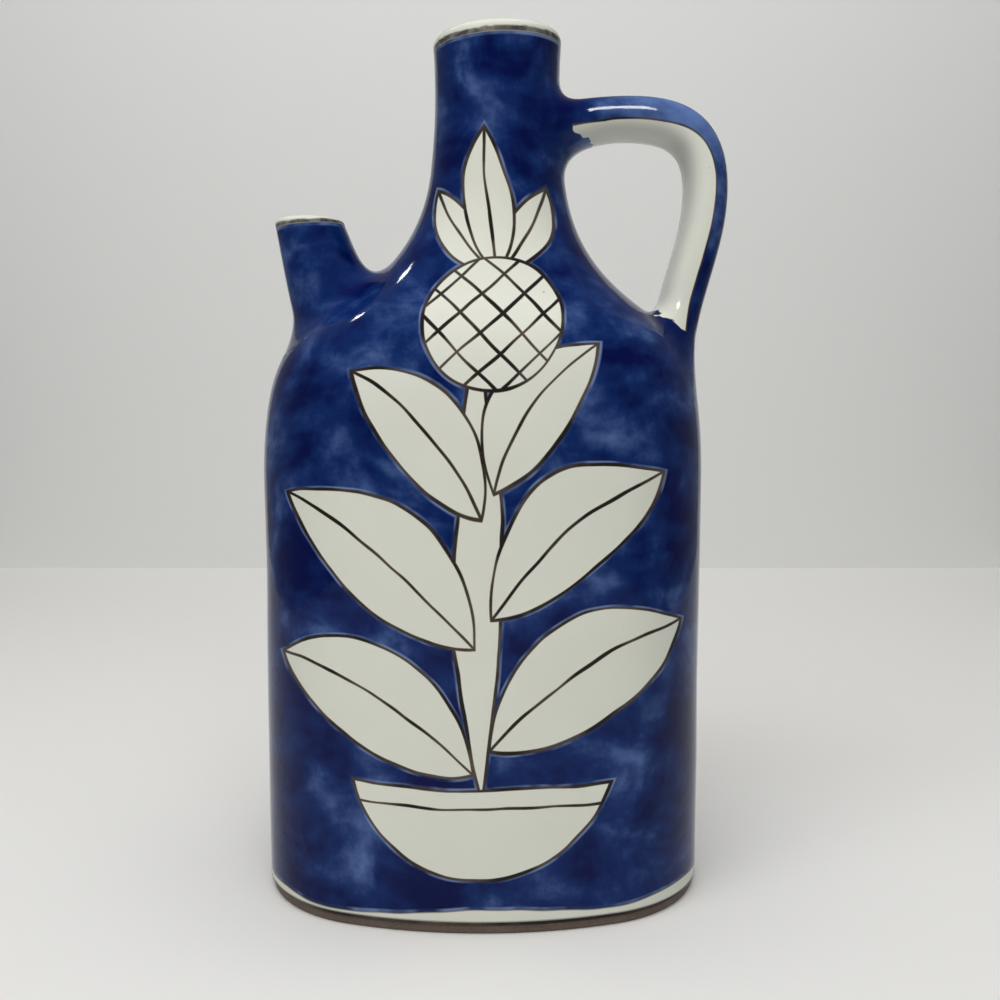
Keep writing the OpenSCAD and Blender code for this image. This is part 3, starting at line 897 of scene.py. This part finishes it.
def paint_plant(tree, place, half_width):
    """A potted plant in the x-z plane: bowl, stem, leaves and a netted fruit, white with inked edges. The
    first leaf is the stem, which has no midrib."""
    own = add(tree, SPLIT, [place]).node.outputs
    flat = add(tree, JOIN, [own["X"], own["Z"]])
    state = dict(BARE)

    def lay(edge, line):
        over = add(tree, GROUP, {**state, "Edge": edge, "Line": line, "Half Width": half_width},
                   node_tree=GROUPS["laid_over"]).node
        state.update({key: over.outputs[key] for key in state})

    for i, (x, z, turned, length, width, bow) in enumerate(LEAVES):
        way = math.radians(turned)
        half, side = length / 2, width / 2
        radius = (half * half + side * side) / (2 * side)
        middle = (x + half * math.cos(way), z + half * math.sin(way), 0)
        local = add(tree, "ShaderNodeMapping", {"Vector": flat, "Location": middle,
                                                "Rotation": (0, 0, way)}, vector_type="TEXTURE")
        leaf = add(tree, GROUP, [local, half, radius, radius - side, bow],
                   node_tree=GROUPS["painted_leaf"]).node
        lay(leaf.outputs["Edge"], leaf.outputs["Midrib"] if i else NO_LINE)

    from_fruit = add(tree, VECTOR, [flat, (*FRUIT_AT, 0)], "DISTANCE")
    fruit = add(tree, MATH, [from_fruit, FRUIT_R], "SUBTRACT")
    nets = []
    for way in (1.0, -1.0):
        slant = add(tree, MATH, [own["X"], way, own["Z"]], "MULTIPLY_ADD")
        fold = add(tree, MATH, [slant, FRUIT_NET * math.sqrt(2) / 2], "PINGPONG")
        nets.append(add(tree, MATH, [fold, math.sqrt(0.5)], "MULTIPLY"))
    net = add(tree, MATH, [nets[0], nets[1]], "MINIMUM")
    lay(fruit, net)

    from_bowl = add(tree, VECTOR, [flat, (*BOWL_AT, 0)], "DISTANCE")
    round_side = add(tree, MATH, [from_bowl, BOWL_R], "SUBTRACT")
    below_top = add(tree, MATH, [own["Z"], BOWL_TOP], "SUBTRACT")
    bowl = add(tree, MATH, [round_side, below_top], "MAXIMUM")
    band = add(tree, MATH, [below_top, BOWL_BAND], "ADD")
    banded = add(tree, MATH, [band], "ABSOLUTE")
    lay(bowl, banded)
    return state


def glaze(name, paint, thin=None):
    """Glossy tin glaze with cobalt and ink laid on it. paint gives the white, the ink and the nearest
    white edge, and thin names an attribute that pales the cobalt, which is painted sheen."""
    material, tree, place = new_material(name)
    brushed = {"Place": place}
    # The handle's thin attribute pales the blue as painted sheen.
    if thin:
        brushed["Thin"] = add(tree, ATTRIBUTE, attribute_name=thin).node.outputs["Fac"]
    blue = add(tree, GROUP, brushed, node_tree=GROUPS["cobalt_brushwork"])
    white = add(tree, GROUP, {"Place": place}, node_tree=GROUPS["tin_white"])
    ink = add(tree, GROUP, {"Place": place}, node_tree=GROUPS["manganese_ink"])

    wide = add(tree, NOISE, {"Vector": place, "Scale": 1 / 55, "Detail": 0.0}).node.outputs["Color"]
    fine = add(tree, NOISE, {"Vector": place, "Scale": 1 / 12, "Detail": 0.0}).node.outputs["Color"]
    slow = add(tree, VECTOR, [wide, (SWAY,) * 3, place], "MULTIPLY_ADD")
    shaky = add(tree, VECTOR, [fine, (SHAKE,) * 3, slow], "MULTIPLY_ADD")
    hand = add(tree, VECTOR, [shaky, ((SWAY + SHAKE) / 2,) * 3], "SUBTRACT")

    painted = paint(tree, place, hand, ink.node.outputs["Half Width"])
    if painted["Nearest"]:
        # The brush shied from the white's edges, so the blue is often thin there.
        gap = add(tree, NOISE, {"Vector": place, "Scale": 1 / 13, "Detail": 2.0})
        shy = add(tree, RANGE, [gap, 0.4, 0.65, 0.05, 0.7], interpolation_type="SMOOTHSTEP")
        near = add(tree, RANGE, [painted["Nearest"], 1.5, 0.8], interpolation_type="SMOOTHSTEP")
        halo = add(tree, MATH, [near, shy], "MULTIPLY")
        blue = add(tree, MIX, {0: halo, 6: blue, 7: linear("#7f92b8")}, data_type="RGBA")
    ground = add(tree, MIX, {0: painted["White"], 6: blue, 7: white}, data_type="RGBA")
    colour = add(tree, MIX, {0: painted["Ink"], 6: ground, 7: ink}, data_type="RGBA")
    dull = add(tree, RANGE, {0: painted["Ink"], 3: 0.07, 4: 0.25})
    fired_gloss(tree, place, colour, dull)
    return material


def painted_over(tree, state, white, ink, past):
    """Lay more white and ink over what is painted. past is the distance past the new white's edge."""
    return {"White": add(tree, MATH, [state["White"], white], "MAXIMUM"),
            "Ink": add(tree, MATH, [state["Ink"], ink], "MAXIMUM"),
            "Nearest": add(tree, MATH, [state["Nearest"], past], "MINIMUM")}


def painted_lip(tree, place, state, lip, tilt, white_h, line_h):
    """White over a lip's top and an uneven ink line on its lower edge, tipped about the lip's middle."""
    middle_h = white_h + line_h / 2
    lower_h = white_h + line_h
    own = add(tree, SPLIT, [place]).node.outputs
    top = add(tree, MATH, [own["X"], tilt, lip[1] - tilt * lip[0]], "MULTIPLY_ADD")
    below = add(tree, MATH, [top, own["Z"]], "SUBTRACT")
    ragged = add(tree, NOISE, {"Vector": place, "Scale": 1 / 5, "Detail": 2.0})
    uneven = add(tree, MATH, [ragged, line_h, below], "MULTIPLY_ADD")
    upper = add(tree, RANGE, [uneven, middle_h - 2 * BLUR, middle_h + 2 * BLUR])
    painted = add(tree, RANGE, [below, lower_h + 0.2, lower_h - 0.2])
    between = add(tree, MATH, [upper, painted], "MULTIPLY")
    load = add(tree, NOISE, {"Vector": place, "Scale": 1 / 3, "Detail": 2.0})
    thin = add(tree, RANGE, [load, 0.3, 0.6, 0.74, 0.94])
    line = add(tree, MATH, [between, thin], "MULTIPLY")
    past = add(tree, MATH, [below, lower_h], "SUBTRACT")
    return painted_over(tree, state, painted, line, past)


def paint_vessel(tree, place, hand, half_width):
    state = paint_plant(tree, hand, half_width)
    state = painted_lip(tree, place, state, (NECK_X, LIP_Z), RIM_TILT, RIM_WHITE, RIM_LINE)
    height = add(tree, SPLIT, [hand]).node.outputs["Z"]
    level = add(tree, SPLIT, [place]).node.outputs["Z"]
    band = add(tree, RANGE, [height, BAND_TOP + 0.2, BAND_TOP - 0.2])
    past = add(tree, MATH, [height, BAND_TOP], "SUBTRACT")
    rim = add(tree, MATH, [past], "ABSOLUTE")
    rim_line = add(tree, RANGE, {0: rim, 1: 3 * BLUR, 2: BLUR, 4: 0.55})
    foot_line = add(tree, RANGE, [level, FOOT_LINE_TOP + 0.4, FOOT_LINE_TOP - 0.4])
    foot = add(tree, MATH, [foot_line, rim_line], "MAXIMUM")
    return painted_over(tree, state, band, foot, past)


def paint_spout(tree, place, hand, half_width):
    lip = (SPOUT_IN - HALF_W, MOUTH_Z)
    return painted_lip(tree, place, BARE, lip, MOUTH_TILT, MOUTH_WHITE, MOUTH_LINE)


def paint_handle(tree, place, hand, half_width):
    past_edge = add(tree, ATTRIBUTE, attribute_name="past_edge").node.outputs["Fac"]
    from_end = add(tree, ATTRIBUTE, attribute_name="past_end").node.outputs["Fac"]
    ragged = add(tree, NOISE, {"Vector": place, "Scale": 1 / 5, "Detail": 1.0})
    brushed = add(tree, MATH, [ragged, 6.0, from_end], "MULTIPLY_ADD")
    past_end = add(tree, MATH, [brushed, 3.0], "SUBTRACT")
    inside = add(tree, MATH, [past_edge, past_end], "MINIMUM")
    edge = add(tree, MATH, [inside, -1.0], "MULTIPLY")
    off = add(tree, MATH, [past_edge], "ABSOLUTE")
    thin = add(tree, MATH, [half_width, -0.6, off], "MULTIPLY_ADD")
    line = add(tree, RANGE, [thin, BLUR, -BLUR])
    ended = add(tree, RANGE, [past_end, -0.2, 0.2])
    return {"White": add(tree, RANGE, [edge, BLUR, -BLUR]),
            "Ink": add(tree, MATH, [line, ended], "MULTIPLY"),
            "Nearest": None}


def lining():
    """Tin glaze poured round the inside: plain white, glossy and slightly rippled."""
    material, tree, place = new_material("tin_glaze_inside")
    white = add(tree, GROUP, {"Place": place}, node_tree=GROUPS["tin_white"])
    fired_gloss(tree, place, white, 0.12)
    return material


def fired_clay():
    """Bare fired clay under a wash of manganese: dull, gritty and brown."""
    material, tree, place = new_material("fired_clay_foot")
    wash = add(tree, NOISE, {"Vector": place, "Scale": 1 / 14, "Detail": 4.0})
    # Real grit is about 0.3 mm across. It is drawn at 0.8 mm, so that it shows.
    grit = add(tree, NOISE, {"Vector": place, "Scale": 1 / 0.8, "Detail": 2.0})
    washed = add(tree, MIX, {0: wash, 6: linear("#4a3d34"), 7: linear("#6f5f52")}, data_type="RGBA")
    gritted = add(tree, RANGE, {0: grit, 1: 0.55, 2: 0.75, 4: 0.5})
    colour = add(tree, MIX, {0: gritted, 6: washed, 7: linear("#8d7b69")}, data_type="RGBA")
    surface = add(tree, "ShaderNodeBump", {"Strength": 0.3, "Distance": 0.3 * MM, "Height": grit})
    shader = add(tree, "ShaderNodeBsdfPrincipled", {"Base Color": colour, "Roughness": 0.62,
                                                    "Normal": surface})
    add(tree, "ShaderNodeOutputMaterial", {"Surface": shader})
    return material


vessel_glaze = glaze("cobalt_tin_glaze_vessel", paint_vessel)
spout_glaze = glaze("cobalt_tin_glaze_spout", paint_spout)
handle_glaze = glaze("cobalt_tin_glaze_handle", paint_handle, "thin")
white_glaze = lining()
foot_clay = fired_clay()


# Pieces

pot = oval_pot_tree()

lip_ring = (len(BOTTOM) + len(OUTSIDE) + 1) * PROFILE_STEPS
vessel = oval_pot("vessel", pot, BOTTOM + OUTSIDE + LIP + INSIDE, lip_ring, vessel_glaze, white_glaze)
cut_bore(vessel, white_glaze)
press_by_hand(vessel.data)
finish_piece(vessel, ["body_wall", "shoulder", "neck", "neck_rim", "base_coil"])

foot = oval_pot("foot", pot, FOOT, len(FOOT) * PROFILE_STEPS, foot_clay, foot_clay)
finish_piece(foot, ["base_slab"])

spout = loft("spout_skin", spout_rings(), [spout_glaze, white_glaze],
             lambda i: 1 if i > LINED_RING else 0, "ring")
press_by_hand(spout.data)
finish_piece(spout, ["spout", "spout_rim", "spout_saddle"])

strap_rings, strap_top, strap_foot = handle_rings()
handle = loft("handle_skin", strap_rings, [handle_glaze], lambda i: 0, "cap")
strap_paint = handle_paint(strap_rings, strap_top, strap_foot)
# The thin attribute is the painted sheen on the handle's arch.
for attribute, values in zip(("past_edge", "past_end", "thin"), strap_paint):
    point_values(handle.data, attribute, values)
press_by_hand(handle.data)
finish_piece(handle, ["handle_strap", "handle_top_luting", "handle_foot_luting"])


# Stage: pale paper on the floor and the wall, soft studio light and the camera at the photo's angle

PAPER_SIDE = 640
PAPER_FRONT = -1200
PAPER_BACK = 790
PAPER_TOP = 700
ROOM_FILL = 0.05
ROOM_SEEN = 0.28
FRAME_W = 36.0
LENS = 1.08 * FRAME_W
CAMERA_AT = (6.4, -405.0, 178.0)
CAMERA_TILT = 0.085


def paper(name, corners, colour):
    """A flat sheet of pale paper: dull and even."""
    mesh = bpy.data.meshes.new(name)
    mesh.from_pydata([Vector(c) * MM for c in corners], [], [(0, 1, 2, 3)])
    material = bpy.data.materials.new(name)
    material.use_nodes = True
    shader = material.node_tree.nodes["Principled BSDF"]
    shader.inputs["Base Color"].default_value = linear(colour)
    shader.inputs["Roughness"].default_value = 0.8
    mesh.materials.append(material)
    link(bpy.data.objects.new(name, mesh))


def soft_box(name, at, aim, size, watts, glint=False, flagged_to=None):
    """A lamp that lights the scene, or, as a glint, one that only the glaze mirrors. It may be flagged off
    all pieces but one."""
    data = bpy.data.lights.new(name, "AREA")
    data.shape = "RECTANGLE"
    data.size, data.size_y = (s * MM for s in size)
    data.energy = watts
    lamp = link(bpy.data.objects.new(name, data))
    lamp.location = Vector(at) * MM
    lamp.rotation_euler = (Vector(aim) - Vector(at)).to_track_quat("-Z", "Y").to_euler()
    lamp.visible_camera = False
    lamp.visible_glossy = glint
    lamp.visible_diffuse = not glint
    if flagged_to:
        lit = bpy.data.collections.new(name + "_lit")
        lit.objects.link(flagged_to)
        lamp.light_linking.receiver_collection = lit


near_edge, fold, top_edge = ([(-PAPER_SIDE, y, z), (PAPER_SIDE, y, z)]
                             for y, z in ((PAPER_FRONT, 0), (PAPER_BACK, 0), (PAPER_BACK, PAPER_TOP)))
paper("paper_floor", near_edge + fold[::-1], "#ecebe8")
paper("paper_wall", fold + top_edge[::-1], "#e6e6e4")
soft_box("front_sheet", (-200, -850, 1050), (150, 300, 100), (1600, 900), 12.0)
soft_box("ceiling_sheet", (60, -50, 1500), (60, 500, 100), (1600, 1400), 14.0)
soft_box("handle_glint", (50, -950, 800), (50, 0, 270), (380, 240), 18.0, glint=True, flagged_to=handle)
soft_box("back_glint", (-660, 400, 1150), (-40, 0, 220), (100, 60), 1.0, glint=True)

world = bpy.data.worlds.new("studio")
bpy.context.scene.world = world
world.use_nodes = True
studio = world.node_tree
room = studio.nodes["Background"]
room.inputs["Color"].default_value = linear("#e8e8e6")
rays = add(studio, "ShaderNodeLightPath").node.outputs
seen = rays["Is Camera Ray"]
for ray in ("Is Glossy Ray", "Is Transmission Ray"):
    seen = add(studio, MATH, [seen, rays[ray]], "MAXIMUM")
strength = add(studio, RANGE, {0: seen, 3: ROOM_FILL, 4: ROOM_SEEN})
studio.links.new(strength, room.inputs["Strength"])

camera_data = bpy.data.cameras.new("camera")
camera_data.sensor_width = FRAME_W
camera_data.lens = LENS
camera = link(bpy.data.objects.new("camera", camera_data))
camera.location = Vector(CAMERA_AT) * MM
camera.rotation_euler = (math.pi / 2 - CAMERA_TILT, 0, 0)
bpy.context.scene.camera = camera
bpy.context.scene.view_settings.view_transform = "Standard"
